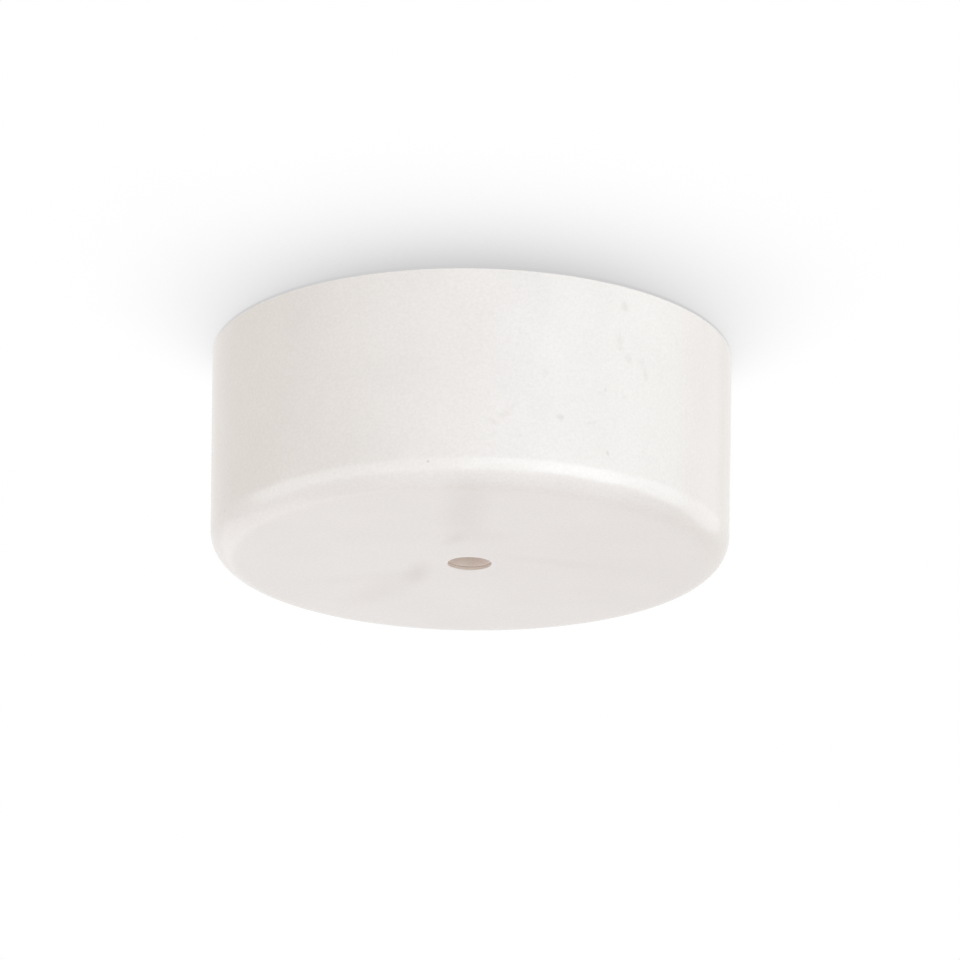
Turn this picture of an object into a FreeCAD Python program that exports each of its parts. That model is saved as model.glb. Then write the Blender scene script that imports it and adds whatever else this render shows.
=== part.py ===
import FreeCAD
import Part
import math
import os

Vector = FreeCAD.Vector

# An electrical ceiling rose: a steel cup that magnets hold under a folded ceiling bracket.
# The ceiling is the plane z = 0, the cable comes down the z axis, and all sizes are in millimetres.

# Canopy: one deep-drawn steel cup with a slight draft
rim_diameter = 120.0
floor_diameter = 118.0
canopy_height = 49.0
canopy_sheet = 0.8
corner_radius = 6.5
rim_edge_radius = 0.3
cable_hole_diameter = 10.0
rim_gap = 0.4

# Ceiling bracket: one strip with two ears, two legs and a bridge, and a wing for each magnet
bracket_sheet = 1.5
strap_width = 30.0
bend_radius = 1.5
leg_gap = 1.5
ear_clearance = 2.8
ear_corner_radius = 6.0
slot_width = 5.0
slot_length = 12.0
wing_width = 24.0
wing_root_radius = 3.0
magnet_offset = 28.0

# Pot magnets
pot_diameter = 20.0
pot_height = 6.0
pot_wall = 1.8
pot_edge_radius = 0.6
magnet_thickness = 4.0
magnet_recess = 0.2
glue_gap = 0.15

# M4 fasteners of the magnets and of the earth terminal
screw_diameter = 4.0
countersunk_head_diameter = 8.0
head_sink = 0.3
nut_flats = 7.0
nut_height = 3.2
spring_washer_diameter = 7.0
spring_washer_thickness = 1.0
spring_washer_split = 0.8
screw_end = 1.2
pan_head_diameter = 8.0
pan_head_height = 2.6
pan_head_edge_radius = 1.0
slot_recess_width = 1.0
slot_recess_depth = 1.2

# Earth clamp washer: a saddle that bridges the wires
saddle_length = 10.0
saddle_width = 11.0
saddle_sheet = 1.2
saddle_lip = 1.6
saddle_fold_radius = 1.1
collar_wall = 1.1
collar_height = 1.8

# Cord grip: a collet with a cap, screwed into the bridge
cord_bore = 8.0
grip_thread_diameter = 10.0
guide_gap = 0.2
mouth_chamfer = 0.5
grip_flange_flats = 17.0
grip_flange_height = 3.0
grip_neck_diameter = 13.0
grip_neck_height = 6.0
collet_root_diameter = 12.0
collet_tip_diameter = 10.4
collet_height = 6.0
collet_slots = 4
collet_slot_width = 1.2
cap_diameter = 17.0
cap_lift = 1.0
cap_top = 1.8
cap_mouth_diameter = 9.2
cap_edge_radius = 1.2
cap_grooves = 16
cap_groove_radius = 1.0
cap_groove_depth = 0.6
tooth_washer_diameter = 16.0
tooth_washer_thickness = 0.8
tooth_count = 12
tooth_gap = 1.4
tooth_depth = 1.6
lock_nut_flats = 14.0
lock_nut_height = 2.6

# Terminal block: two poles in one moulding
terminal_gap = 1.2
pole_count = 2
pole_pitch = 10.0
pole_width = 8.6
block_depth = 18.0
barrel_height = 10.0
barrel_round = 2.4
web_depth = 11.0
web_height = 8.4
turret_diameter = 6.6
turret_height = 14.5
turret_offset = 4.2
tube_height = 5.4
tube_diameter = 5.2
tube_bore = 3.4
tube_length = 12.5
wire_entry_diameter = 4.0
funnel_depth = 1.4
clamp_screw_diameter = 3.0
clamp_head_diameter = 3.9
clamp_head_height = 1.6
clamp_head_sink = 1.4
clamp_screw_clear = 0.2
fixing_screw_diameter = 3.0
fixing_head_diameter = 5.6
fixing_head_height = 2.0

# Clearances, all measured on the radius
hole_clearance = 0.25
thread_clearance = 0.05
seat_clearance = 0.15

# How far a cut reaches past the face that it opens
cut_reach = 1.0

# Levels that follow from the sizes above
rim_z = -rim_gap
floor_outer_z = rim_z - canopy_height
floor_inner_z = floor_outer_z + canopy_sheet
bridge_bottom_z = floor_inner_z + pot_height
bridge_top_z = bridge_bottom_z + bracket_sheet
draft_angle = math.atan2((rim_diameter - floor_diameter) / 2, canopy_height)

# Places along the bridge that follow from what stands on it
block_length = pole_pitch * (pole_count - 1) + pole_width
grip_corner_radius = grip_flange_flats / math.sqrt(3)
terminal_x = -(grip_corner_radius + terminal_gap + block_length / 2)
earth_x = -terminal_x
leg_inner_x = block_length / 2 - terminal_x + leg_gap + bend_radius
leg_outer_x = leg_inner_x + bracket_sheet
ear_reach = rim_diameter / 2 - canopy_sheet / math.cos(draft_angle) - ear_clearance
ear_end_x = math.sqrt(ear_reach ** 2 - (strap_width / 2) ** 2)
slot_x = (leg_outer_x + bend_radius + ear_end_x) / 2
pole_xs = [terminal_x + pole_pitch * (i - (pole_count - 1) / 2) for i in range(pole_count)]
tube_z = bridge_top_z + tube_height


def cylinder(radius, low, high, x=0.0, y=0.0):
    """An upright cylinder between two levels."""
    return Part.makeCylinder(radius, high - low, Vector(x, y, low))


def cone(low_radius, high_radius, low, high, x=0.0, y=0.0):
    """An upright cone frustum between two levels."""
    return Part.makeCone(low_radius, high_radius, high - low, Vector(x, y, low))


def box(x_low, x_high, y_low, y_high, low, high):
    """A box between pairs of limits."""
    return Part.makeBox(x_high - x_low, y_high - y_low, high - low, Vector(x_low, y_low, low))


def hexagon(flats, low, high, x=0.0, y=0.0):
    """An upright hexagonal prism, measured across its flats."""
    corner = flats / math.sqrt(3)
    ring = [
        Vector(x + corner * math.cos(math.radians(60 * i)), y + corner * math.sin(math.radians(60 * i)), low)
        for i in range(7)
    ]
    return Part.Face(Part.makePolygon(ring)).extrude(Vector(0, 0, high - low))


def turned(profile):
    """A solid of revolution about the z axis from (radius, level) corners."""
    corners = [Vector(radius, 0, level) for radius, level in profile]
    face = Part.Face(Part.makePolygon(corners + corners[:1]))
    return face.revolve(Vector(0, 0, 0), Vector(0, 0, 1), 360)


def circles_at(shape, radius, level):
    """The circular edges of a shape with one radius at one level."""
    found = []
    for edge in shape.Edges:
        curve = edge.Curve
        if isinstance(curve, Part.Circle) and abs(curve.Radius - radius) < 1e-4:
            if abs(curve.Center.z - level) < 1e-4:
                found.append(edge)
    return found


def edges_along(shape, axis, places):
    """The straight edges along one axis whose middles lie at given places across it."""
    across = [i for i in range(3) if i != axis]
    found = []
    for edge in shape.Edges:
        bounds = edge.BoundBox
        spans = (bounds.XLength, bounds.YLength, bounds.ZLength)
        if spans[axis] < 1e-3 or max(spans[i] for i in across) > 1e-4:
            continue
        middle = tuple(bounds.Center)
        if any(all(abs(middle[i] - place[k]) < 1e-4 for k, i in enumerate(across)) for place in places):
            found.append(edge)
    return found


def fused(shapes):
    """Several touching solids as one, without the seams between them."""
    return shapes[0].multiFuse(shapes[1:]).removeSplitter()


def slotted_head(head, width, x, y, top, radius):
    """A screw head with a straight driver slot across it."""
    low, high = top - slot_recess_depth, top + cut_reach
    return head.cut(box(x - radius, x + radius, y - width / 2, y + width / 2, low, high))


def canopy():
    """The cup: a drafted wall, a rounded corner and a flat floor with the cable hole."""
    rim, floor, hole = rim_diameter / 2, floor_diameter / 2, cable_hole_diameter / 2
    wall = canopy_sheet / math.cos(draft_angle)
    inner_floor = floor + canopy_sheet * math.tan(draft_angle) - wall
    cup = turned([
        (hole, floor_outer_z),
        (floor, floor_outer_z),
        (rim, rim_z),
        (rim - wall, rim_z),
        (inner_floor, floor_inner_z),
        (hole, floor_inner_z),
    ])
    cup = cup.makeFillet(corner_radius, circles_at(cup, floor, floor_outer_z))
    cup = cup.makeFillet(corner_radius - canopy_sheet, circles_at(cup, inner_floor, floor_inner_z))
    rim_edges = circles_at(cup, rim, rim_z) + circles_at(cup, rim - wall, rim_z)
    return cup.makeFillet(rim_edge_radius, rim_edges)


def folded_strap():
    """The hat-shaped strip: ear, leg, bridge, leg, ear, with rounded folds."""
    half = strap_width / 2
    corners = [
        (-ear_end_x, 0), (-leg_inner_x, 0), (-leg_inner_x, bridge_top_z), (leg_inner_x, bridge_top_z),
        (leg_inner_x, 0), (ear_end_x, 0), (ear_end_x, -bracket_sheet), (leg_outer_x, -bracket_sheet),
        (leg_outer_x, bridge_bottom_z), (-leg_outer_x, bridge_bottom_z), (-leg_outer_x, -bracket_sheet),
        (-ear_end_x, -bracket_sheet),
    ]
    ring = [Vector(x, -half, z) for x, z in corners + corners[:1]]
    strap = Part.Face(Part.makePolygon(ring)).extrude(Vector(0, strap_width, 0))
    inside = [(s * leg_outer_x, -bracket_sheet) for s in (-1, 1)]
    inside += [(s * leg_inner_x, bridge_top_z) for s in (-1, 1)]
    outside = [(s * leg_inner_x, 0) for s in (-1, 1)]
    outside += [(s * leg_outer_x, bridge_bottom_z) for s in (-1, 1)]
    strap = strap.makeFillet(bend_radius, edges_along(strap, 1, inside))
    strap = strap.makeFillet(bend_radius + bracket_sheet, edges_along(strap, 1, outside))
    ear_corners = [(sx * ear_end_x, sy * half) for sx in (-1, 1) for sy in (-1, 1)]
    return strap.makeFillet(ear_corner_radius, edges_along(strap, 2, ear_corners))


def magnet_wings():
    """The two round-ended wings that carry the magnets, as one plate through the bridge."""
    half = wing_width / 2
    plate = box(-half, half, -magnet_offset, magnet_offset, bridge_bottom_z, bridge_top_z)
    ends = [cylinder(half, bridge_bottom_z, bridge_top_z, 0, s * magnet_offset) for s in (-1, 1)]
    return fused([plate] + ends)


def slot(x):
    """An ear's screw slot, which runs along the strip."""
    half = (slot_length - slot_width) / 2
    low, high = -bracket_sheet - cut_reach, cut_reach
    middle = box(x - half, x + half, -slot_width / 2, slot_width / 2, low, high)
    return fused([middle] + [cylinder(slot_width / 2, low, high, x + s * half) for s in (-1, 1)])


def tapped_hole_sizes():
    """The bridge's two tapped holes as (place, thread radius): the earth screw and the block's screw."""
    return [(earth_x, screw_diameter / 2), (terminal_x, fixing_screw_diameter / 2)]


def ceiling_bracket():
    """The folded strip with its wings, slots, holes and the burred collars of its tapped holes."""
    bracket = fused([folded_strap(), magnet_wings()])
    roots = [(sx * wing_width / 2, sy * strap_width / 2) for sx in (-1, 1) for sy in (-1, 1)]
    bracket = bracket.makeFillet(wing_root_radius, edges_along(bracket, 2, roots))
    collars = [
        cylinder(radius + collar_wall, bridge_bottom_z - collar_height, bridge_top_z, x)
        for x, radius in tapped_hole_sizes()
    ]
    bracket = fused([bracket] + collars)
    low, high = bridge_bottom_z - collar_height - cut_reach, bridge_top_z + cut_reach
    holes = [slot(-slot_x), slot(slot_x)]
    holes.append(cylinder(grip_thread_diameter / 2 + hole_clearance, low, high))
    holes += [
        cylinder(screw_diameter / 2 + hole_clearance, low, high, 0, s * magnet_offset) for s in (-1, 1)
    ]
    holes += [cylinder(radius + thread_clearance, low, high, x) for x, radius in tapped_hole_sizes()]
    return bracket.cut(Part.makeCompound(holes))


def magnet_pot(y):
    """A steel pot, open downwards, whose rim meets the canopy's floor."""
    radius = pot_diameter / 2
    pot = cylinder(radius, floor_inner_z, bridge_bottom_z)
    pot = pot.makeFillet(pot_edge_radius, circles_at(pot, radius, bridge_bottom_z))
    magnet_top = floor_inner_z + magnet_recess + magnet_thickness
    pot = pot.cut(cylinder(radius - pot_wall, floor_inner_z - cut_reach, magnet_top))
    hole = screw_diameter / 2 + hole_clearance
    pot = pot.cut(cylinder(hole, magnet_top - cut_reach, bridge_bottom_z + cut_reach))
    return pot.translated(Vector(0, y, 0))


def ring_magnet(y):
    """A ring magnet with a countersunk hole for the screw."""
    low = floor_inner_z + magnet_recess
    high = low + magnet_thickness
    hole = screw_diameter / 2 + hole_clearance
    sink = countersunk_head_diameter / 2 + hole_clearance + head_sink
    ring = turned([
        (sink, low),
        (pot_diameter / 2 - pot_wall - glue_gap, low),
        (pot_diameter / 2 - pot_wall - glue_gap, high),
        (hole, high),
        (hole, low + sink - hole),
    ])
    return ring.translated(Vector(0, y, 0))


def magnet_stack_top():
    """The level of the lock washer's top, where the magnet's nut sits."""
    return bridge_top_z + spring_washer_thickness


def magnet_screw(y):
    """A countersunk M4 screw with a cross recess, put in from below."""
    low = floor_inner_z + magnet_recess + head_sink
    high = magnet_stack_top() + nut_height + screw_end
    head, shank, arm_half = countersunk_head_diameter / 2, screw_diameter / 2, slot_recess_width / 2
    screw = turned([(0, low), (head, low), (shank, low + head - shank), (shank, high), (0, high)])
    for turn in (0, 90):
        arm = box(-head / 2, head / 2, -arm_half, arm_half, low - cut_reach, low + slot_recess_depth)
        screw = screw.cut(arm.rotated(Vector(0, 0, 0), Vector(0, 0, 1), turn))
    return screw.translated(Vector(0, y, 0))


def spring_washer(low, x, y):
    """A split spring washer for an M4 screw."""
    high = low + spring_washer_thickness
    outer, inner = spring_washer_diameter / 2, screw_diameter / 2 + seat_clearance
    ring = cylinder(outer, low, high).cut(cylinder(inner, low - cut_reach, high + cut_reach))
    half = spring_washer_split / 2
    split = box(0, outer + cut_reach, -half, half, low - cut_reach, high + cut_reach)
    return ring.cut(split).translated(Vector(x, y, 0))


def hex_nut(flats, thread_radius, low, high):
    """A hexagon nut with chamfered corners and a plain bore at its thread's radius."""
    corner = flats / math.sqrt(3)
    chamfer = (corner - flats / 2) / math.sqrt(3)
    turned_blank = turned([
        (thread_radius + thread_clearance, low),
        (flats / 2, low),
        (corner, low + chamfer),
        (corner, high - chamfer),
        (flats / 2, high),
        (thread_radius + thread_clearance, high),
    ])
    return hexagon(flats, low, high).common(turned_blank)


def magnet_nut(y):
    """The M4 nut on top of a magnet's wing."""
    low = magnet_stack_top()
    return hex_nut(nut_flats, screw_diameter / 2, low, low + nut_height).translated(Vector(0, y, 0))


def collet_radius(level):
    """The outside radius of the grip's clamping fingers at a level."""
    root_z = bridge_top_z + grip_flange_height + grip_neck_height
    share = (level - root_z) / collet_height
    return (collet_root_diameter + share * (collet_tip_diameter - collet_root_diameter)) / 2


def cord_grip_body():
    """The collet body: a threaded tube down to the cable hole, a hex flange, a neck and four fingers."""
    low = floor_inner_z + guide_gap
    flange_top = bridge_top_z + grip_flange_height
    neck_top = flange_top + grip_neck_height
    tip = neck_top + collet_height
    tube = cylinder(grip_thread_diameter / 2, low, bridge_top_z)
    flange = hexagon(grip_flange_flats, bridge_top_z, flange_top)
    neck = cylinder(grip_neck_diameter / 2, flange_top, neck_top)
    fingers = cone(collet_radius(neck_top), collet_radius(tip), neck_top, tip)
    body = fused([tube, flange, neck, fingers])
    bore = cord_bore / 2
    body = body.cut(cylinder(bore, low - cut_reach, tip + cut_reach))
    body = body.cut(cone(bore + mouth_chamfer, bore, low, low + mouth_chamfer))
    half = collet_slot_width / 2
    for i in range(collet_slots // 2):
        cut = box(-cap_diameter, cap_diameter, -half, half, neck_top, tip + cut_reach)
        body = body.cut(cut.rotated(Vector(0, 0, 0), Vector(0, 0, 1), 360 * i / collet_slots))
    return body


def cord_grip_cap():
    """The ribbed cap, whose inner cone closes the fingers."""
    neck_top = bridge_top_z + grip_flange_height + grip_neck_height
    low = bridge_top_z + grip_flange_height + cap_lift
    cone_top = neck_top + collet_height + seat_clearance
    high = cone_top + cap_top
    outer, thread = cap_diameter / 2, grip_neck_diameter / 2 + thread_clearance
    cap = turned([
        (thread, low),
        (outer, low),
        (outer, high),
        (cap_mouth_diameter / 2, high),
        (cap_mouth_diameter / 2, cone_top),
        (collet_radius(cone_top) + seat_clearance, cone_top),
        (collet_radius(neck_top) + seat_clearance, neck_top + seat_clearance),
        (thread, neck_top + seat_clearance),
    ])
    cap = cap.makeFillet(cap_edge_radius, circles_at(cap, outer, high))
    centre = outer + cap_groove_radius - cap_groove_depth
    grooves = [
        cylinder(cap_groove_radius, low - cut_reach, high - cap_edge_radius, centre).rotated(
            Vector(0, 0, 0), Vector(0, 0, 1), 360 * i / cap_grooves
        )
        for i in range(cap_grooves)
    ]
    return cap.cut(Part.makeCompound(grooves))


def cord_grip_washer():
    """The toothed lock washer under the bridge."""
    high = bridge_bottom_z
    low = high - tooth_washer_thickness
    outer = tooth_washer_diameter / 2
    ring = cylinder(outer, low, high)
    hole = grip_thread_diameter / 2 + seat_clearance
    cut_low, cut_high = low - cut_reach, high + cut_reach
    ring = ring.cut(cylinder(hole, cut_low, cut_high))
    gaps = [
        box(outer - tooth_depth, outer + cut_reach, -tooth_gap / 2, tooth_gap / 2, cut_low, cut_high).rotated(
            Vector(0, 0, 0), Vector(0, 0, 1), 360 * i / tooth_count
        )
        for i in range(tooth_count)
    ]
    return ring.cut(Part.makeCompound(gaps))


def cord_grip_lock_nut():
    """The flat nut that clamps the grip to the bridge from below."""
    high = bridge_bottom_z - tooth_washer_thickness
    return hex_nut(lock_nut_flats, grip_thread_diameter / 2, high - lock_nut_height, high)


def terminal_barrel(x):
    """One pole's moulding: a rounded barrel with two screw turrets on it."""
    half = block_depth / 2
    top = bridge_top_z + barrel_height
    barrel = box(x - pole_width / 2, x + pole_width / 2, -half, half, bridge_top_z, top)
    top_edges = [(x + s * pole_width / 2, top) for s in (-1, 1)]
    barrel = barrel.makeFillet(barrel_round, edges_along(barrel, 1, top_edges))
    turrets = [
        cylinder(turret_diameter / 2, bridge_top_z, bridge_top_z + turret_height, x, s * turret_offset)
        for s in (-1, 1)
    ]
    return [barrel] + turrets


def lying_cylinder(radius, x, y_low, y_high, end_radius=None):
    """A cylinder, or a cone frustum, along the y axis at the height of the wires."""
    start, along = Vector(x, y_low, tube_z), Vector(0, 1, 0)
    if end_radius is None:
        return Part.makeCylinder(radius, y_high - y_low, start, along)
    return Part.makeCone(radius, end_radius, y_high - y_low, start, along)


def pole_hollows(x):
    """What one pole leaves open: the tube's seat, the wire entries and the screws' shafts."""
    half, seat = block_depth / 2, tube_diameter / 2 + thread_clearance
    entry = wire_entry_diameter / 2
    funnel = entry + funnel_depth / 2
    hollows = [
        lying_cylinder(seat, x, -tube_length / 2, half + cut_reach),
        lying_cylinder(entry, x, -half - cut_reach, 0),
        lying_cylinder(funnel, x, -half, -half + funnel_depth, entry),
    ]
    shaft = clamp_head_diameter / 2 + seat_clearance
    top = bridge_top_z + turret_height + cut_reach
    hollows += [cylinder(shaft, tube_z, top, x, s * turret_offset) for s in (-1, 1)]
    return hollows


def terminal_housing():
    """The two-pole moulding, open at both ends of each pole and above each screw."""
    solids = []
    for x in pole_xs:
        solids += terminal_barrel(x)
    web_top = bridge_top_z + web_height
    solids.append(box(pole_xs[0], pole_xs[-1], -web_depth / 2, web_depth / 2, bridge_top_z, web_top))
    housing = fused(solids)
    hollows = []
    for x in pole_xs:
        hollows += pole_hollows(x)
    fixing = fixing_screw_diameter / 2 + hole_clearance
    hollows.append(cylinder(fixing, bridge_top_z - cut_reach, web_top + cut_reach, terminal_x))
    head = fixing_head_diameter / 2 + seat_clearance
    hollows.append(cylinder(head, web_top, bridge_top_z + turret_height, terminal_x))
    for hollow in hollows:
        housing = housing.cut(hollow)
    return housing.removeSplitter()


def terminal_tube(x):
    """A brass tube with two tapped holes in its top."""
    half = tube_length / 2
    tube = lying_cylinder(tube_diameter / 2, x, -half, half)
    tube = tube.cut(lying_cylinder(tube_bore / 2, x, -half - cut_reach, half + cut_reach))
    tapped = clamp_screw_diameter / 2 + thread_clearance
    for s in (-1, 1):
        tube = tube.cut(cylinder(tapped, tube_z, tube_z + tube_diameter, x, s * turret_offset))
    return tube


def slotted_screw(x, y, head_diameter, head_height, shank_diameter, seat, tip):
    """A cheese-head screw: its head stands on the seat level and its shank ends at the tip level."""
    top = seat + head_height
    head = cylinder(head_diameter / 2, seat, top, x, y)
    shank = cylinder(shank_diameter / 2, tip, seat, x, y)
    return slotted_head(fused([head, shank]), slot_recess_width, x, y, top, head_diameter)


def terminal_clamp_screws():
    """The wire screws, backed off so that every tube is open for its wires."""
    seat = bridge_top_z + turret_height - clamp_head_sink - clamp_head_height
    tip = tube_z + tube_bore / 2 + clamp_screw_clear
    sizes = (clamp_head_diameter, clamp_head_height, clamp_screw_diameter)
    return [
        slotted_screw(x, s * turret_offset, *sizes, seat, tip)
        for x in pole_xs
        for s in (-1, 1)
    ]


def terminal_fixing_screw():
    """The screw through the block's web into the bridge."""
    seat = bridge_top_z + web_height
    tip = bridge_bottom_z - collar_height
    return slotted_screw(
        terminal_x, 0, fixing_head_diameter, fixing_head_height, fixing_screw_diameter, seat, tip
    )


def earth_clamp_washer():
    """The saddle: a plate on two lips, with room for wires on both sides of the screw."""
    half_x, half_y = saddle_width / 2, saddle_length / 2
    low = bridge_top_z + saddle_lip
    plate = box(earth_x - half_x, earth_x + half_x, -half_y, half_y, low, low + saddle_sheet)
    lips = [
        box(x, x + saddle_sheet, -half_y, half_y, bridge_top_z, low)
        for x in (earth_x - half_x, earth_x + half_x - saddle_sheet)
    ]
    saddle = fused([plate] + lips)
    folds = [(earth_x + s * half_x, low + saddle_sheet) for s in (-1, 1)]
    saddle = saddle.makeFillet(saddle_fold_radius, edges_along(saddle, 1, folds))
    hole = screw_diameter / 2 + hole_clearance
    return saddle.cut(cylinder(hole, low - cut_reach, low + saddle_sheet + cut_reach, earth_x))


def earth_spring_washer():
    """The spring washer between the saddle and the earth screw's head."""
    return spring_washer(bridge_top_z + saddle_lip + saddle_sheet, earth_x, 0)


def earth_screw():
    """The pan-head earth screw, down through the saddle into the bridge's collar."""
    seat = bridge_top_z + saddle_lip + saddle_sheet + spring_washer_thickness
    top = seat + pan_head_height
    radius = pan_head_diameter / 2
    head = cylinder(radius, seat, top, earth_x)
    head = head.makeFillet(pan_head_edge_radius, circles_at(head, radius, top))
    shank = cylinder(screw_diameter / 2, bridge_bottom_z - collar_height, seat, earth_x)
    return slotted_head(fused([head, shank]), slot_recess_width, earth_x, 0, top, radius)


def all_parts():
    """Every node of the rose: its name and its solid, or its group of like solids."""
    sides = {"front": -magnet_offset, "rear": magnet_offset}
    parts = {"canopy": canopy(), "ceiling_bracket": ceiling_bracket()}
    for side, y in sides.items():
        parts[side + "_magnet_pot"] = magnet_pot(y)
        parts[side + "_ring_magnet"] = ring_magnet(y)
    parts["magnet_screws"] = [magnet_screw(y) for y in sides.values()]
    parts["magnet_lock_washers"] = [spring_washer(bridge_top_z, 0, y) for y in sides.values()]
    parts["magnet_nuts"] = [magnet_nut(y) for y in sides.values()]
    parts["cord_grip_body"] = cord_grip_body()
    parts["cord_grip_cap"] = cord_grip_cap()
    parts["cord_grip_washer"] = cord_grip_washer()
    parts["cord_grip_lock_nut"] = cord_grip_lock_nut()
    parts["terminal_housing"] = terminal_housing()
    for pole, x in zip(("live", "neutral"), pole_xs):
        parts[pole + "_terminal_tube"] = terminal_tube(x)
    parts["terminal_clamp_screws"] = terminal_clamp_screws()
    parts["terminal_fixing_screw"] = terminal_fixing_screw()
    parts["earth_clamp_washer"] = earth_clamp_washer()
    parts["earth_spring_washer"] = earth_spring_washer()
    parts["earth_screw"] = earth_screw()
    return parts


def write_parts():
    """One STEP file for each node."""
    os.makedirs("parts", exist_ok=True)
    for name, made in all_parts().items():
        shape = Part.makeCompound(made) if isinstance(made, list) else made
        shape.exportStep(os.path.join("parts", name + ".step"))
        print(name, "solids", len(shape.Solids), "volume", round(shape.Volume, 1), "valid", shape.isValid())


write_parts()
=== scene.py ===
import math

import bpy
import numpy as np
from mathutils import Matrix, Vector


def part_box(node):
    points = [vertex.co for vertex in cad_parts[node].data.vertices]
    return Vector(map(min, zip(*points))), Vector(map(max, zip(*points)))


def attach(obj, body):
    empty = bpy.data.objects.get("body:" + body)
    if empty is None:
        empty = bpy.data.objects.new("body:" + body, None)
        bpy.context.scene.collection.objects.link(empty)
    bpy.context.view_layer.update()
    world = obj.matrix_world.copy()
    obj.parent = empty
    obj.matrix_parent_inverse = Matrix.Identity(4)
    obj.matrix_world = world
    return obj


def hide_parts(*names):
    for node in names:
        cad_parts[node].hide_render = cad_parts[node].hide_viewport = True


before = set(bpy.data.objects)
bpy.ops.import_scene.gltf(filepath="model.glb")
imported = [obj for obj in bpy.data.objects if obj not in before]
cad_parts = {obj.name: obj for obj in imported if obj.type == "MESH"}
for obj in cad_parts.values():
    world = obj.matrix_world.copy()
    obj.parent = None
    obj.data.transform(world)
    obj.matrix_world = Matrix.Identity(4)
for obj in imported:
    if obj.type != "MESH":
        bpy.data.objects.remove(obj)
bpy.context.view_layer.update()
scene = bpy.context.scene
scene.view_settings.view_transform = "Standard"
mm = 0.001
turn = 2 * math.pi
print("frame loaded:", len(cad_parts), "nodes")


# Surfaces

# Quads between neighbours of a grid: around counts the angles, along the profile's points.
# An open profile is closed by flat discs on the axis, an open turn by flat cuts.
def gridFaces(around, along, fullTurn, closedProfile):
    grid = np.arange(around * along).reshape(around, along)
    i, j = np.meshgrid(
        np.arange(around if fullTurn else around - 1),
        np.arange(along if closedProfile else along - 1),
        indexing="ij",
    )
    iNext, jNext = (i + 1) % around, (j + 1) % along
    blocks = [np.stack([grid[i, j], grid[iNext, j], grid[iNext, jNext], grid[i, jNext]], -1).reshape(-1, 4)]
    if not closedProfile:
        blocks += [grid[::-1, :1].T, grid[:, -1:].T]
    if not fullTurn:
        blocks += [grid[:1], grid[-1:, ::-1]]
    return blocks


# A profile of (radius, level) points carried round z: x = r cos a, y = r sin a, z = level.
# bend changes the angle, radius and level of the whole grid first.
def carriedRound(profile, steps, bend=None, span=None, closedProfile=True):
    radius, level = np.asarray(profile, float).T
    angles = np.arange(steps) * turn / steps if span is None else np.linspace(*span, steps)
    angle, radius = np.meshgrid(angles, radius, indexing="ij")
    level = np.broadcast_to(level, radius.shape).copy()
    if bend:
        angle, radius, level = bend(angle, radius, level)
    points = np.stack([radius * np.cos(angle), radius * np.sin(angle), level], -1).reshape(-1, 3)
    return points, gridFaces(steps, len(profile), span is None, closedProfile)


# An arc in the profile's plane: centre plus radius times (cos a, sin a).
def arc(centre, radius, start, end, count):
    a = np.linspace(math.radians(start), math.radians(end), count)
    return np.c_[centre[0] + radius * np.cos(a), centre[1] + radius * np.sin(a)]


# A straight run of points between two profile points, both included.
def run(start, end, count):
    return np.linspace(start, end, count)


samePoint = 1e-8      # points closer than this count as one


# Profile stretches in a row, without the points that repeat where they meet.
def joined(*stretches):
    points = np.vstack(stretches)
    keep = np.r_[True, np.linalg.norm(np.diff(points, axis=0), axis=1) > samePoint]
    return points[keep]


hexPower = 48                                  # the higher, the sharper a hexagon's corners
threadForm = {"crest": 0.125, "flank": 0.625}  # widths as shares of half a pitch


# A hexagon's radius at an angle: half the flats over the high norm of its three face cosines,
# which rounds the corners a little.
def hexRadius(angle, flats):
    cosines = np.abs(np.cos(angle[..., None] - np.radians((30, 90, 150))))
    return flats / 2 / (cosines ** hexPower).sum(-1) ** (1 / hexPower)


# The lesser of two values, rounded over a small width where they cross.
def softMin(first, second, width):
    return (first + second - np.sqrt((first - second) ** 2 + width ** 2)) / 2


# Smooth step from 0 to 1 between two values.
def ease(low, high, value):
    t = np.clip((value - low) / (high - low), 0, 1)
    return t * t * (3 - 2 * t)


# Depth of a screw thread from 0 at the crest to 1 at the root, right-handed: a trapezium wave
# of level over pitch less the share of a turn.
def threadWave(angle, level, pitch):
    wave = 1 - np.abs(2 * ((level / pitch - angle / turn) % 1) - 1)
    return np.clip((wave - threadForm["crest"]) / threadForm["flank"], 0, 1)


# Like surfaces in one mesh: the points in a row, the corner numbers moved on to match.
def merged(surfaces):
    points, blocks, count = [], [], 0
    for surfacePoints, surfaceBlocks in surfaces:
        points.append(surfacePoints)
        blocks += [block + count for block in surfaceBlocks]
        count += len(surfacePoints)
    return np.vstack(points), blocks


# Copies of one surface, each moved by an offset.
def copies(surface, offsets):
    points, blocks = surface
    return merged([(points + np.asarray(offset), blocks) for offset in offsets])


def putMesh(name, surface, finishes, sharpAngle=35):
    points, blocks = surface
    corners = np.concatenate([block.ravel() for block in blocks]).astype(np.int32)
    sizes = np.concatenate([np.full(len(block), block.shape[1]) for block in blocks])
    mesh = bpy.data.meshes.new(name)
    mesh.vertices.add(len(points))
    mesh.vertices.foreach_set("co", points.astype(np.float32).ravel())
    mesh.loops.add(len(corners))
    mesh.loops.foreach_set("vertex_index", corners)
    mesh.polygons.add(len(sizes))
    mesh.polygons.foreach_set("loop_start", np.r_[0, np.cumsum(sizes)[:-1]].astype(np.int32))
    mesh.update(calc_edges=True)
    mesh.validate()
    mesh.shade_smooth()
    mesh.set_sharp_from_angle(angle=math.radians(sharpAngle))
    for finish in finishes:
        mesh.materials.append(finish)
    piece = bpy.data.objects.new(name, mesh)
    scene.collection.objects.link(piece)
    return piece


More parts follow.
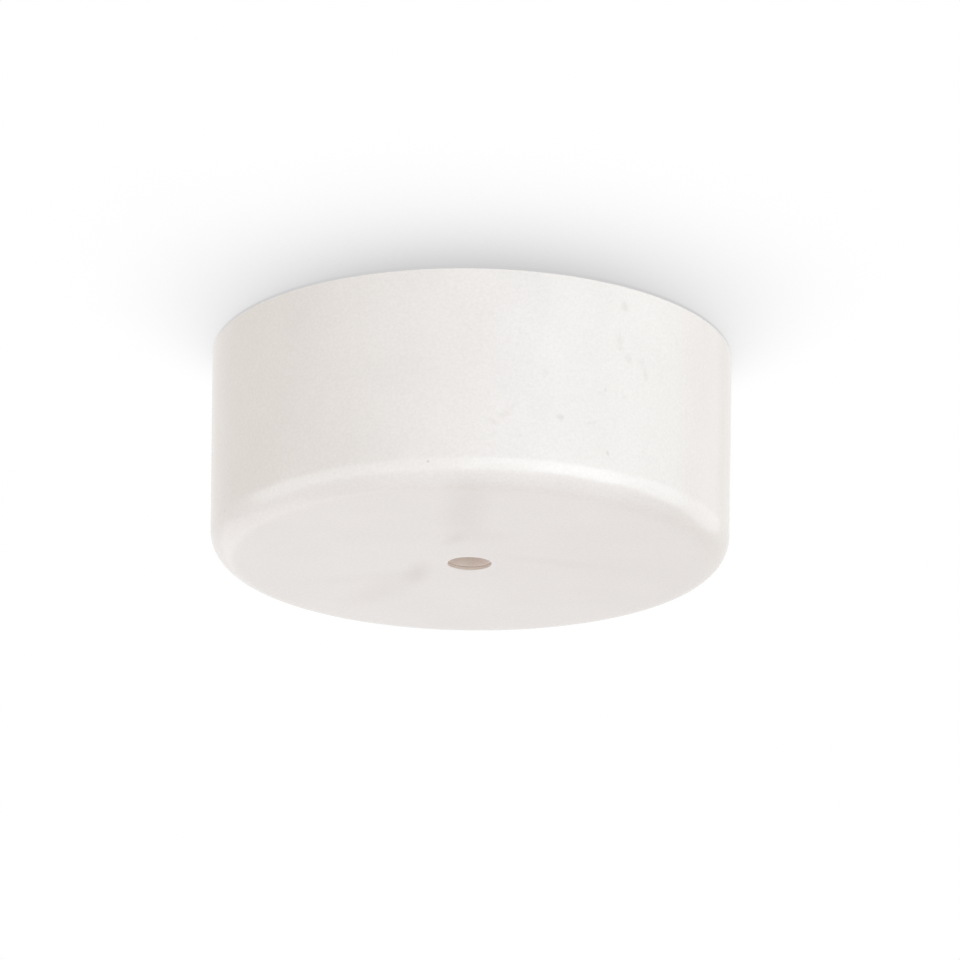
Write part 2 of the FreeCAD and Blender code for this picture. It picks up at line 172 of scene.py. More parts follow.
# A new piece rides on a body and stands for its CAD node.
def fitPiece(piece, body, node):
    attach(piece, body)
    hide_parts(node)
    print("piece", piece.name, "faces", len(piece.data.polygons))


# Material nodes

noiseSpan = (0.3, 0.7)        # where most of a noise's values lie
wideSpan = (0.25, 0.75)       # where nearly all of them lie
edgeLook = {"samples": 6, "cosines": (0.995, 0.75)}    # from hardly rounded to fully worn


def startMaterial(name):
    material = bpy.data.materials.new(name)
    material.use_nodes = True
    tree = material.node_tree
    place = tree.nodes.new("ShaderNodeTexCoord").outputs["Object"]
    return material, tree, tree.nodes["Principled BSDF"], place


# Sets a socket from a link or a constant.
def feed(tree, socket, value):
    if isinstance(value, bpy.types.NodeSocket):
        tree.links.new(value, socket)
    else:
        socket.default_value = value


# Fractal noise on the piece's own coordinates; stretch multiplies each axis, so a low number draws it out.
def noise(tree, place, scale, detail=3.0, stretch=None):
    if stretch:
        mapping = tree.nodes.new("ShaderNodeMapping")
        mapping.inputs["Scale"].default_value = stretch
        tree.links.new(place, mapping.inputs["Vector"])
        place = mapping.outputs["Vector"]
    texture = tree.nodes.new("ShaderNodeTexNoise")
    tree.links.new(place, texture.inputs["Vector"])
    texture.inputs["Scale"].default_value = scale
    texture.inputs["Detail"].default_value = detail
    return texture.outputs["Fac"]


def mapRange(tree, value, fromRange, toRange, smooth=False):
    node = tree.nodes.new("ShaderNodeMapRange")
    node.interpolation_type = "SMOOTHSTEP" if smooth else "LINEAR"
    feed(tree, node.inputs["Value"], value)
    for socket, number in zip(("From Min", "From Max", "To Min", "To Max"), (*fromRange, *toRange)):
        node.inputs[socket].default_value = number
    return node.outputs["Result"]


def math2(tree, operation, first, second):
    node = tree.nodes.new("ShaderNodeMath")
    node.operation = operation
    feed(tree, node.inputs[0], first)
    feed(tree, node.inputs[1], second)
    return node.outputs["Value"]


def mixColour(tree, factor, first, second, blend="MIX"):
    node = tree.nodes.new("ShaderNodeMix")
    node.data_type = "RGBA"
    node.blend_type = blend
    feed(tree, node.inputs["Factor"], factor)
    feed(tree, node.inputs[6], (*first, 1) if isinstance(first, tuple) else first)
    feed(tree, node.inputs[7], (*second, 1) if isinstance(second, tuple) else second)
    return node.outputs[2]


def bump(tree, height, distance, strength, normal=None):
    node = tree.nodes.new("ShaderNodeBump")
    node.inputs["Distance"].default_value = distance
    node.inputs["Strength"].default_value = strength
    tree.links.new(height, node.inputs["Height"])
    if normal:
        tree.links.new(normal, node.inputs["Normal"])
    return node.outputs["Normal"]


# Rounded edges in the shading, and a mask of where they are: one less the cosine
# between the rounded and the true normal.
def softEdge(tree, radius):
    bevel = tree.nodes.new("ShaderNodeBevel")
    bevel.samples = edgeLook["samples"]
    bevel.inputs["Radius"].default_value = radius
    geometry = tree.nodes.new("ShaderNodeNewGeometry")
    dot = tree.nodes.new("ShaderNodeVectorMath")
    dot.operation = "DOT_PRODUCT"
    tree.links.new(bevel.outputs["Normal"], dot.inputs[0])
    tree.links.new(geometry.outputs["Normal"], dot.inputs[1])
    return bevel.outputs["Normal"], mapRange(tree, dot.outputs["Value"], edgeLook["cosines"], (0, 1))


def dress(tree, shader, colour, roughness, normal):
    feed(tree, shader.inputs["Base Color"], colour)
    feed(tree, shader.inputs["Roughness"], roughness)
    feed(tree, shader.inputs["Normal"], normal)


# Canopy paint

canopyPaint = {
    "colour": (0.86, 0.825, 0.80),
    "speckle": 0.035,             # share of tone that the grain takes
    "grainScale": 1500,
    "cloud": 0.02,
    "cloudScale": 55,
    "roughness": (0.18, 0.22),
    "ior": 1.75,                  # dense pigment under a glossy binder
    "peelScale": 700,             # orange peel of the coat
    "peelGrain": 0.4,             # share of the grain in it
    "peelDepth": 0.02 * mm,
    "peel": 0.10,
}

# Faint marks on the wall: degrees from the front, drop below the ceiling, width, height, lean, strength
wallMarks = [
    (33.9, 4.9, 2.6, 3.4, -8, 0.105),
    (19.8, 5.7, 3.6, 0.9, 20, 0.045),
    (49.4, 9.3, 1.2, 3.2, -5, 0.045),
    (32.8, 13.4, 3.1, 4.4, -8, 0.060),
    (32.9, 15.2, 0.9, 0.8, 0, 0.090),
    (35.1, 17.0, 2.1, 3.2, -28, 0.070),
    (38.6, 16.9, 3.4, 2.6, -20, 0.060),
    (39.8, 19.6, 2.0, 3.6, -22, 0.090),
    (15.6, 23.5, 2.1, 2.4, -10, 0.045),
    (29.4, 25.4, 1.0, 1.5, -15, 0.085),
    (28.4, 26.3, 2.3, 1.8, 0, 0.040),
    (34.3, 26.0, 2.1, 1.4, 0, 0.040),
    (7.4, 33.3, 2.5, 7.0, 45, 0.060),
    (4.5, 35.4, 3.6, 1.8, 35, 0.065),
    (19.1, 33.4, 2.3, 2.0, 0, 0.130),
    (25.8, 33.6, 3.9, 1.2, -15, 0.050),
    (10.3, 38.4, 0.8, 0.7, 0, 0.070),
    (30.1, 39.7, 1.1, 1.7, -15, 0.170),
    (-9.0, 44.5, 1.0, 0.8, 0, 0.240),
    (-68.6, 44.5, 1.3, 1.1, 0, 0.070),
]

# Painted shade on the floor, dark streaks and a broad darkening of the middle and right: x, y, width,
# length, turn, strength
floorPaintedShade = [
    (-1.2, -38, 14, 58, 3, 0.080),
    (3.0, -21, 20, 16, 0, 0.040),
    (-3.6, -18, 6, 13, 20, 0.065),
    (-12.0, 7.5, 8, 24, 8, 0.100),
    (-21, 22, 15, 44, 31, 0.055),
    (-24, 12, 34, 11, -14, 0.030),
    (19, -2, 36, 8, 18, 0.035),
    (34, 2, 74, 120, 0, 0.030),
]
# Wall marks and the painted floor shade both darken the paint towards the tint.
markAndShadeLook = {
    "tint": (0.57, 0.50, 0.48),
    "grainScale": 420,
    "wallGrain": 0.22,            # how far the grain frays a mark's edge, in shares of its radius
    # the same for the edges of the painted floor shade
    "floorShadeGrain": 0.05,
    "fade": (0.05, 1.1),          # shares of its radius between which a mark fades out
    "gain": 2,
    # The second reach is the painted floor shade's half depth into the floor.
    "reach": (8.0 * mm, 4.0 * mm),    # half depth of a mark into the wall and into the floor
}

innerCoat = {
    "primer": (0.74, 0.648, 0.585),
    "dust": (0.83, 0.80, 0.77),     # overspray that comes in over the rim
    "dustLevels": (-16 * mm, -2 * mm),
    "dustRagged": 6 * mm,           # how far the clouds move the dust's edge
    "raggedSpan": (0.2, 0.8),
    "spotSpan": (0.42, 0.58),
    "spots": (0.35, 1.0),           # share of dust between and on its spots
    "toneSpan": (0.6, 1.4),
    "tone": (0.94, 1.06),
    "roughness": (0.55, 0.68),
    "grainScale": 1300,
    "cloudScale": 90,
    "relief": 0.25,
    "reliefDepth": 0.03 * mm,
}

canopyShape = {
    "floorRadius": 59.0 * mm,
    "sheet": 0.8 * mm,
    "corner": 6.5 * mm,
    "runOut": (30, 4),            # degrees of the corner that run out into the floor, and their power
    "rimEdge": 0.3 * mm,
    "hole": 5.0 * mm,
    "holeLip": (0.12 * mm, 0.015 * mm),    # rounding outside and inside
    "steps": 300,
}


# Each wall mark and each patch of painted floor shade is an ellipsoid about its place: one less the
# distance in its own axes, roughened by noise.
def markAndShadeMask(tree, place, centre, rotation, size, grain, fade):
    mapping = tree.nodes.new("ShaderNodeMapping")
    mapping.vector_type = "TEXTURE"
    mapping.inputs["Location"].default_value = centre
    mapping.inputs["Rotation"].default_value = rotation
    mapping.inputs["Scale"].default_value = size
    tree.links.new(place, mapping.inputs["Vector"])
    length = tree.nodes.new("ShaderNodeVectorMath")
    length.operation = "LENGTH"
    tree.links.new(mapping.outputs["Vector"], length.inputs[0])
    distance = math2(tree, "ADD", length.outputs["Value"], grain)
    return mapRange(tree, distance, fade, (1, 0), smooth=True)


def paintMaterial(look, markAndShade, rimRadius, floorLevel):
    material, tree, shader, place = startMaterial("canopySatinPaint")
    grain = noise(tree, place, look["grainScale"], detail=2)
    cloud = noise(tree, place, look["cloudScale"])
    speckleTone = mapRange(tree, grain, wideSpan, (1 - look["speckle"], 1 + look["speckle"]))
    cloudTone = mapRange(tree, cloud, wideSpan, (1 - look["cloud"], 1 + look["cloud"]))
    tone = math2(tree, "MULTIPLY", speckleTone, cloudTone)
    colour = mixColour(tree, 1.0, look["colour"], tone, "MULTIPLY")
    fray = noise(tree, place, markAndShade["grainScale"], detail=2)
    wallFray, floorShadeFray = (
        mapRange(tree, fray, noiseSpan, (-markAndShade[k], markAndShade[k])) for k in ("wallGrain", "floorShadeGrain")
    )
    wallReach, floorShadeReach = markAndShade["reach"]

    # Darkens the colour towards the tint inside one ellipsoid, for a wall mark and for painted shade on the
    # floor.
    def darkened(colour, centre, rotation, size, edge, depth):
        mask = markAndShadeMask(tree, place, centre, rotation, size, edge, markAndShade["fade"])
        share = math2(tree, "MULTIPLY", mask, depth * markAndShade["gain"])
        return mixColour(tree, share, colour, markAndShade["tint"], "MULTIPLY")

    for heading, drop, wide, tall, lean, depth in wallMarks:
        angle = math.radians(heading)
        centre = (rimRadius * math.sin(angle), -rimRadius * math.cos(angle), -drop * mm)
        size = (wide / 2 * mm, wallReach, tall / 2 * mm)
        colour = darkened(colour, centre, (0, math.radians(lean), angle), size, wallFray, depth)
    # Painted shade on the floor: shadow streaks and a broad darkening.
    for x, y, wide, long, twist, depth in floorPaintedShade:
        centre, size = (x * mm, y * mm, floorLevel), (wide / 2 * mm, long / 2 * mm, floorShadeReach)
        colour = darkened(colour, centre, (0, 0, math.radians(twist)), size, floorShadeFray, depth)
    rough = mapRange(tree, cloud, noiseSpan, look["roughness"])
    fine = math2(tree, "MULTIPLY", grain, look["peelGrain"])
    peel = math2(tree, "ADD", noise(tree, place, look["peelScale"], detail=2), fine)
    dress(tree, shader, colour, rough, bump(tree, peel, look["peelDepth"], look["peel"]))
    shader.inputs["IOR"].default_value = look["ior"]
    return material


def coatMaterial(look):
    material, tree, shader, place = startMaterial("canopyInnerCoat")
    grain = noise(tree, place, look["grainScale"], detail=4)
    cloud = noise(tree, place, look["cloudScale"], detail=4)
    split = tree.nodes.new("ShaderNodeSeparateXYZ")
    tree.links.new(place, split.inputs["Vector"])
    shift = mapRange(tree, cloud, look["raggedSpan"], (-look["dustRagged"], look["dustRagged"]))
    ragged = math2(tree, "ADD", split.outputs["Z"], shift)
    dust = mapRange(tree, ragged, look["dustLevels"], (0, 1), smooth=True)
    spots = math2(tree, "MULTIPLY", dust, mapRange(tree, grain, look["spotSpan"], look["spots"]))
    colour = mixColour(tree, spots, look["primer"], look["dust"])
    tone = mapRange(tree, math2(tree, "ADD", grain, cloud), look["toneSpan"], look["tone"])
    colour = mixColour(tree, 1.0, colour, tone, "MULTIPLY")
    rough = mapRange(tree, cloud, noiseSpan, look["roughness"])
    dress(tree, shader, colour, rough, bump(tree, grain, look["reliefDepth"], look["relief"]))
    return material


# The corner's soft end on the floor: height is the arc's rise times a power of the way along, over the
# length at which the curve meets the arc with the arc's own slope: power times rise over that slope.
def runOut(centre, radius, angle, power, count):
    lift = math.radians(angle)
    rise = radius * (1 - math.cos(lift))
    length = power * rise / math.tan(lift)
    way = np.linspace(0, 1, count)
    outward = centre[0] + radius * math.sin(lift) - length * (1 - way)
    return np.c_[outward, centre[1] - radius + rise * way ** power]


# The cup's profile, anticlockwise: hole lip, floor, corner arc, drafted wall, rim, and back inside.
# The wall's draft is the angle whose tangent is the rim's overhang over the height.
def canopyProfile(shape, rimRadius, floorLevel, rimLevel):
    draft = math.atan2(rimRadius - shape["floorRadius"], rimLevel - floorLevel)
    slope, lean = math.degrees(draft), math.cos(draft)
    corner, sheet, edge, hole = (shape[k] for k in ("corner", "sheet", "rimEdge", "hole"))
    lip, innerLip = shape["holeLip"]
    cornerCentre = (shape["floorRadius"] + corner * math.tan(draft) - corner / lean, floorLevel + corner)
    edgeLevel = rimLevel - edge
    edgeRadius = rimRadius - edge * math.tan(draft)
    outerEdge = (edgeRadius - edge / lean, edgeLevel)
    innerEdge = (edgeRadius - (sheet - edge) / lean, edgeLevel)
    softEnd, power = shape["runOut"]
    outerCorner = joined(
        runOut(cornerCentre, corner, softEnd, power, 16),
        arc(cornerCentre, corner, softEnd - 90, -slope, 20),
    )
    innerCorner = arc(cornerCentre, corner - sheet, -slope, -90, 18)
    rimOut = arc(outerEdge, edge, -slope, 90, 7)
    rimIn = arc(innerEdge, edge, 90, 180 - slope, 7)
    lipOut = arc((hole + lip, floorLevel + lip), lip, 180, 270, 5)
    lipIn = arc((hole + innerLip, floorLevel + sheet - innerLip), innerLip, 90, 180, 5)
    outside = joined(
        lipOut, run(lipOut[-1], outerCorner[0], 30), outerCorner,
        run(outerCorner[-1], rimOut[0], 34), rimOut, rimIn,
    )
    inside = joined(
        rimIn[-1:], run(rimIn[-1], innerCorner[0], 24), innerCorner,
        run(innerCorner[-1], lipIn[0], 20), lipIn,
    )
    return joined(outside, inside), len(outside)


def makeCanopy(shape):
    low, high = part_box("canopy")
    rimRadius = min(high.x, high.y)      # the lesser half of the box
    profile, outsideCount = canopyProfile(shape, rimRadius, low.z, high.z)
    finishes = [paintMaterial(canopyPaint, markAndShadeLook, rimRadius, low.z), coatMaterial(innerCoat)]
    piece = putMesh("canopyCup", carriedRound(profile, shape["steps"]), finishes)
    row = np.arange(len(piece.data.polygons)) % len(profile)
    piece.data.polygons.foreach_set("material_index", (row >= outsideCount - 1).astype(np.int32))
    fitPiece(piece, "canopy", "canopy")


makeCanopy(canopyShape)


# Metals and plastics of the inside

bracketZinc = {
    "colour": (0.49, 0.51, 0.54),
    "tint": (0.555, 0.545, 0.49),     # yellowish sheen of the passivation
    "worn": (0.66, 0.66, 0.66),
    "roughness": (0.26, 0.42),
    "cloudScale": 120,
    "lineScale": 900,
    "lineStretch": (0.06, 1.0, 1.0),  # rolled along the strip
    "relief": 0.22,
    "edge": 0.18 * mm,
}
potNickel = {
    "colour": (0.66, 0.63, 0.58),
    "tint": (0.58, 0.56, 0.53),
    "worn": (0.80, 0.78, 0.74),
    "roughness": (0.14, 0.26),
    "cloudScale": 220,
    "lineScale": 1400,
    "lineStretch": (1.0, 1.0, 0.5),
    "relief": 0.10,
    "edge": 0.12 * mm,
}
magnetNickel = {
    "colour": (0.50, 0.50, 0.51),
    "tint": (0.60, 0.60, 0.60),
    "worn": (0.72, 0.72, 0.72),
    "roughness": (0.20, 0.34),
    "cloudScale": 300,
    "lineScale": 2000,
    "lineStretch": (1.0, 1.0, 1.0),
    "relief": 0.18,
    "edge": 0.10 * mm,
}
fastenerZinc = {
    "colour": (0.66, 0.69, 0.73),     # bluish bright zinc
    "tint": (0.74, 0.72, 0.66),
    "roughness": (0.18, 0.34),
    "cloudScale": 420,
    "lineScale": 1600,
    "lineStretch": (1.0, 1.0, 0.3),
    "relief": 0.14,
    "edge": 0,
}
tubeBrass = {
    "colour": (0.76, 0.56, 0.25),
    "tint": (0.66, 0.45, 0.19),
    "worn": (0.88, 0.72, 0.42),
    "roughness": (0.18, 0.34),
    "cloudScale": 260,
    "lineScale": 1800,
    "lineStretch": (0.08, 1.0, 0.08),  # turned round the tube's axis
    "relief": 0.20,
    "edge": 0.10 * mm,
}
earthBrass = dict(tubeBrass, lineStretch=(0.12, 1.0, 1.0), roughness=(0.22, 0.38))
gripNylon = {
    "colour": (0.83, 0.737, 0.672),
    "tint": (0.80, 0.709, 0.645),
    "roughness": (0.40, 0.52),
    "sparkScale": 2200,
    "relief": 0.22,
    "edge": 0,
}
nutNylon = dict(gripNylon, colour=(0.80, 0.71, 0.645), tint=(0.76, 0.67, 0.605))
terminalPlastic = {
    "colour": (0.80, 0.78, 0.72),
    "tint": (0.76, 0.73, 0.66),
    "roughness": (0.34, 0.46),
    "sparkScale": 1700,
    "relief": 0.16,
    "edge": 0.30 * mm,
}

# What all metals and all plastics share
metalGrain = {
    "patchSpan": (0.38, 0.64),    # noise values between which the second tone comes in
    "lineTone": (0.92, 1.06),
    "cloudRoughness": (-0.05, 0.05),
    "wornShare": 0.6,
    "wornPolish": 0.08,
    "pitScale": 2600,
    "pitShare": 0.5,              # against the lines, in the relief
    "depth": 0.02 * mm,
}
mouldGrain = {
    "flowScale": 130,
    "flowStretch": (1.0, 1.0, 0.4),
    "flowSpan": (0.35, 0.65),
    "sparkTone": (0.96, 1.04),
    "wornPolish": 0.1,
    "depth": 0.03 * mm,
    "glow": 0.12,                 # share of the light that goes under the surface
    "glowRadius": (1.0, 0.8, 0.6),
    "glowScale": 0.4 * mm,
}


# Metal: two tones in clouds, drawn or turned lines that shade and roughen it, and worn edges
# where a node keeps its sharp corners.
def metalMaterial(name, look):
    material, tree, shader, place = startMaterial(name)
    cloud = noise(tree, place, look["cloudScale"], detail=4)
    lines = noise(tree, place, look["lineScale"], stretch=look["lineStretch"])
    pits = noise(tree, place, metalGrain["pitScale"], detail=2)
    patch = mapRange(tree, cloud, metalGrain["patchSpan"], (0, 1), smooth=True)
    colour = mixColour(tree, patch, look["colour"], look["tint"])
    lineTone = mapRange(tree, lines, noiseSpan, metalGrain["lineTone"])
    colour = mixColour(tree, 1.0, colour, lineTone, "MULTIPLY")
    rough = mapRange(tree, lines, noiseSpan, look["roughness"])
    rough = math2(tree, "ADD", rough, mapRange(tree, cloud, noiseSpan, metalGrain["cloudRoughness"]))
    normal = None
    if look["edge"]:
        normal, worn = softEdge(tree, look["edge"])
        share = math2(tree, "MULTIPLY", worn, metalGrain["wornShare"])
        colour = mixColour(tree, share, colour, look["worn"])
        rough = math2(tree, "SUBTRACT", rough, math2(tree, "MULTIPLY", worn, metalGrain["wornPolish"]))
    relief = math2(tree, "ADD", lines, math2(tree, "MULTIPLY", pits, metalGrain["pitShare"]))
    dress(tree, shader, colour, rough, bump(tree, relief, metalGrain["depth"], look["relief"], normal))
    shader.inputs["Metallic"].default_value = 1.0
    return material


# Plastic: slow changes of tone from the moulding, a fine spark-eroded grain, softened corners.
def plasticMaterial(name, look):
    material, tree, shader, place = startMaterial(name)
    flow = noise(tree, place, mouldGrain["flowScale"], stretch=mouldGrain["flowStretch"])
    spark = noise(tree, place, look["sparkScale"])
    patch = mapRange(tree, flow, mouldGrain["flowSpan"], (0, 1), smooth=True)
    colour = mixColour(tree, patch, look["colour"], look["tint"])
    sparkTone = mapRange(tree, spark, noiseSpan, mouldGrain["sparkTone"])
    colour = mixColour(tree, 1.0, colour, sparkTone, "MULTIPLY")
    rough = mapRange(tree, spark, noiseSpan, look["roughness"])
    normal = None
    if look["edge"]:
        normal, worn = softEdge(tree, look["edge"])
        rough = math2(tree, "SUBTRACT", rough, math2(tree, "MULTIPLY", worn, mouldGrain["wornPolish"]))
    dress(tree, shader, colour, rough, bump(tree, spark, mouldGrain["depth"], look["relief"], normal))
    shader.inputs["Subsurface Weight"].default_value = mouldGrain["glow"]
    shader.inputs["Subsurface Radius"].default_value = mouldGrain["glowRadius"]
    shader.inputs["Subsurface Scale"].default_value = mouldGrain["glowScale"]
    return material


finishes = {
    "bracket": metalMaterial("zincPlatedSheet", bracketZinc),
    "pot": metalMaterial("nickelPlatedPot", potNickel),
    "magnet": metalMaterial("nickelPlatedMagnet", magnetNickel),
    "fastener": metalMaterial("brightZincFastener", fastenerZinc),
    "brass": metalMaterial("turnedBrass", tubeBrass),
    "earthBrass": metalMaterial("pressedBrass", earthBrass),
    "grip": plasticMaterial("gripNylon", gripNylon),
    "gripNut": plasticMaterial("gripNutNylon", nutNylon),
    "terminal": plasticMaterial("terminalMoulding", terminalPlastic),
}

# Nodes that keep their CAD shape and take a better finish
keptNodes = {
    "ceiling_bracket": "bracket",
    "front_magnet_pot": "pot",
    "rear_magnet_pot": "pot",
    "front_ring_magnet": "magnet",
    "rear_ring_magnet": "magnet",
    "terminal_housing": "terminal",
    "live_terminal_tube": "brass",
    "neutral_terminal_tube": "brass",
    "earth_clamp_washer": "earthBrass",
}
for nodeName, finishName in keptNodes.items():
    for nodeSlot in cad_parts[nodeName].material_slots:
        nodeSlot.material = finishes[finishName]
print("finishes on", len(keptNodes), "kept nodes")


# Fasteners and cord grip, worked out in millimetres

def boxInMm(node):
    low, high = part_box(node)
    return np.array(low) / mm, np.array(high) / mm


def putSmall(name, surface, finish, node):
    points, blocks = surface
    piece = putMesh(name, (points * mm, blocks), [finishes[finish]], sharpAngle=30)
    fitPiece(piece, "bracket", node)


# A profile carried over part of a turn, less the angle whose sine is half the slot over the radius
# at each end, so that the walls of the slot are straight and parallel.
def slottedSector(profile, steps, span, slot):
    wide = span[1] - span[0]

    def parallel(angle, radius, level):
        cut = np.arcsin(slot / 2 / radius)
        return span[0] + cut + (angle - span[0]) / wide * (wide - 2 * cut), radius, level

    return carriedRound(profile, steps, parallel, span)


# A ring's section with rounded edges.
def ringProfile(inner, outer, low, high, edge):
    return joined(
        arc((inner + edge, low + edge), edge, 180, 270, 5),
        arc((outer - edge, low + edge), edge, 270, 360, 5),
        arc((outer - edge, high - edge), edge, 0, 90, 5),
        arc((inner + edge, high - edge), edge, 90, 180, 5),
    )


nutBlank = {"face": 0.97, "edge": 0.04}                           # face as a share of the flats
shankThread = {"depth": 0.58, "fade": (0.2, 1.5), "rows": 12}     # in pitches, and rows to a pitch
screwBlank = {"core": 0.1, "chamfer": 0.12, "slotRoom": 1.02}


# A nut: a turned blank with coned faces, cut down to a hexagon where the hexagon is narrower.
# The cone runs from the flats' circle to the corners' circle at thirty degrees.
def hexNut(flats, bore, low, high, mouth):
    corner = flats / math.sqrt(3)
    face = flats / 2 * nutBlank["face"]
    cone = (corner - face) / math.sqrt(3)
    profile = joined(
        run((bore, low + mouth), (bore + mouth, low), 4),
        run((face, low), (corner, low + cone), 8),
        run((corner, high - cone), (face, high), 8),
        run((bore + mouth, high), (bore, high - mouth), 4),
    )

    def hexagon(angle, radius, level):
        return angle, softMin(radius, hexRadius(angle, flats), nutBlank["edge"]), level

    return carriedRound(profile, steps=180, bend=hexagon)


# The shank below a head: a chamfered tip, then a thread whose depth fades out under the seat.
# Radius is the shank's radius less depth times the thread wave.
def threaded(radius, pitch, tip, seat):
    depth = shankThread["depth"] * pitch
    shallow, full = (seat - share * pitch for share in shankThread["fade"])

    def thread(angle, r, level):
        cut = radius - depth * threadWave(angle, level, pitch) * ease(shallow, full, level)
        return angle, np.where(level < seat, np.minimum(r, cut), r), level

    rows = int((seat - tip) / pitch * shankThread["rows"])
    tipCone = run((radius - depth, tip), (radius, tip + depth), 5)
    return tipCone, run((radius, tip + depth), (radius, seat), rows), thread


# A slotted screw: shank, head up to the slot's floor, and two half heads beside the slot.
def slottedScrew(look, tip, seat, top):
    head, edge, floor = look["head"], look["edge"], top - look["slotDepth"]
    core, chamfer = screwBlank["core"], screwBlank["chamfer"]
    tipCone, shank, thread = threaded(look["shank"], look["pitch"], tip, seat)
    under = [(head - chamfer, seat), (head, seat + chamfer), (head, floor), (core, floor)]
    lower = joined([(core, tip)], tipCone, shank, under)
    inner = look["slot"] / 2 * screwBlank["slotRoom"]
    crown = np.linspace(head - edge, inner, 10)
    crownLevels = top - look["dome"] * (crown / head) ** 2
    shoulder = arc((head - edge, crownLevels[0] - edge), edge, 0, 90, 8)
    upper = joined(run((inner, floor), (head, floor), 6), shoulder, np.c_[crown, crownLevels])
    half = slottedSector(upper, steps=48, span=(0, math.pi), slot=look["slot"])
    other = (half[0] * (-1, -1, 1), half[1])
    return merged([carriedRound(lower, steps=72, bend=thread, closedProfile=False), half, other])


smallHardware = {"nutBore": 2.05, "nutMouth": 0.35, "washerBore": 2.15, "washerEdge": 0.12, "split": 0.8}
magnetScrew = {
    "shank": 2.0, "head": 4.0, "pitch": 0.7, "edge": 0.15, "axis": 0.02,
    "recessWide": 1.0, "recessLong": 4.0, "recessDeep": 1.5, "recessEdge": 0.06, "recessRise": 0.35,
    "faceRoom": 0.01,             # what lies this close to the face is sunk
}


# A countersunk screw, head down: a flat face with a cross recess, a cone, then the threaded shank.
# The recess is as deep as its arms' mask, and shallower away from the middle.
def crossScrew(look, low, high):
    head, shankRadius, edge, blur = (look[k] for k in ("head", "shank", "edge", "recessEdge"))
    wide, long = look["recessWide"] / 2, look["recessLong"] / 2
    coneTop = low + head - shankRadius
    tipCone, shank, thread = threaded(shankRadius, look["pitch"], -high, -coneTop)
    upright = joined(shank[::-1], tipCone[::-1]) * (1, -1)
    profile = joined(
        run((look["axis"], low), (head - edge, low), 60), arc((head - edge, low + edge), edge, 270, 360, 5),
        run((head, low + edge), (shankRadius, coneTop), 8), upright, [(screwBlank["core"], high)],
    )

    def arm(across, along):
        return ease(wide + blur, wide - blur, across) * ease(long + blur, long - blur, along)

    def shaped(angle, radius, level):
        radius = thread(-angle, radius, -level)[1]
        x, y = np.abs(radius * np.cos(angle)), np.abs(radius * np.sin(angle))
        rise = 1 - look["recessRise"] * radius / long
        depth = look["recessDeep"] * np.maximum(arm(x, y), arm(y, x)) * rise
        return angle, radius, np.where(level < low + look["faceRoom"], level + depth, level)

    return carriedRound(profile, steps=240, bend=shaped, closedProfile=False)


# A spring washer: a rounded ring with a straight split.
def springWasher(look, outer, low, high):
    section = ringProfile(look["washerBore"], outer, low, high, look["washerEdge"])
    return slottedSector(section, steps=96, span=(0, turn), slot=look["split"])


def makeMagnetFixings():
    low, high = boxInMm("magnet_screws")
    places = [(0, side * (high[1] - magnetScrew["head"]), 0) for side in (-1, 1)]
    screw = crossScrew(magnetScrew, low[2], high[2])
    putSmall("magnetScrews", copies(screw, places), "fastener", "magnet_screws")
    low, high = boxInMm("magnet_nuts")
    bore, mouth = smallHardware["nutBore"], smallHardware["nutMouth"]
    nut = hexNut(2 * (high[1] - places[1][1]), bore, low[2], high[2], mouth)
    putSmall("magnetNuts", copies(nut, places), "fastener", "magnet_nuts")
    low, high = boxInMm("magnet_lock_washers")
    washer = springWasher(smallHardware, high[1] - places[1][1], low[2], high[2])
    washers = copies(washer, places)
    putSmall("magnetLockWashers", washers, "fastener", "magnet_lock_washers")


earthScrew = {
    "shank": 2.0, "head": 4.0, "pitch": 0.7, "slot": 1.0, "slotDepth": 1.2, "edge": 0.8, "dome": 0.22,
}


def makeEarthFixings():
    low, high = boxInMm("earth_screw")
    centre = ((low + high) / 2 * (1, 1, 0)).tolist()
    washerLow, washerHigh = boxInMm("earth_spring_washer")
    screw = slottedScrew(earthScrew, low[2], washerHigh[2], high[2])
    putSmall("earthScrew", copies(screw, [centre]), "earthBrass", "earth_screw")
    outer = (washerHigh - washerLow)[1] / 2
    washer = copies(springWasher(smallHardware, outer, washerLow[2], washerHigh[2]), [centre])
    putSmall("earthSpringWasher", washer, "fastener", "earth_spring_washer")


clampScrew = {
    "shank": 1.5, "head": 1.95, "headHeight": 1.6, "pitch": 0.5,
    "slot": 1.0, "slotDepth": 1.2, "edge": 0.2, "dome": 0.0,
}
fixingScrew = {
    "shank": 1.5, "head": 2.8, "headHeight": 2.0, "pitch": 0.5,
    "slot": 1.0, "slotDepth": 1.2, "edge": 0.35, "dome": 0.15,
}


def makeTerminalScrews():
    low, high = boxInMm("terminal_clamp_screws")
    inset = clampScrew["head"]
    (left, front, _), (right, back, _) = low + inset, high - inset
    places = [(x, y, 0) for x in (left, right) for y in (front, back)]
    screw = slottedScrew(clampScrew, low[2], high[2] - clampScrew["headHeight"], high[2])
    screws = copies(screw, places)
    putSmall("terminalClampScrews", screws, "fastener", "terminal_clamp_screws")
    low, high = boxInMm("terminal_fixing_screw")
    centre = ((low + high) / 2 * (1, 1, 0)).tolist()
    screw = slottedScrew(fixingScrew, low[2], high[2] - fixingScrew["headHeight"], high[2])
    screw = copies(screw, [centre])
    putSmall("terminalFixingScrew", screw, "fastener", "terminal_fixing_screw")


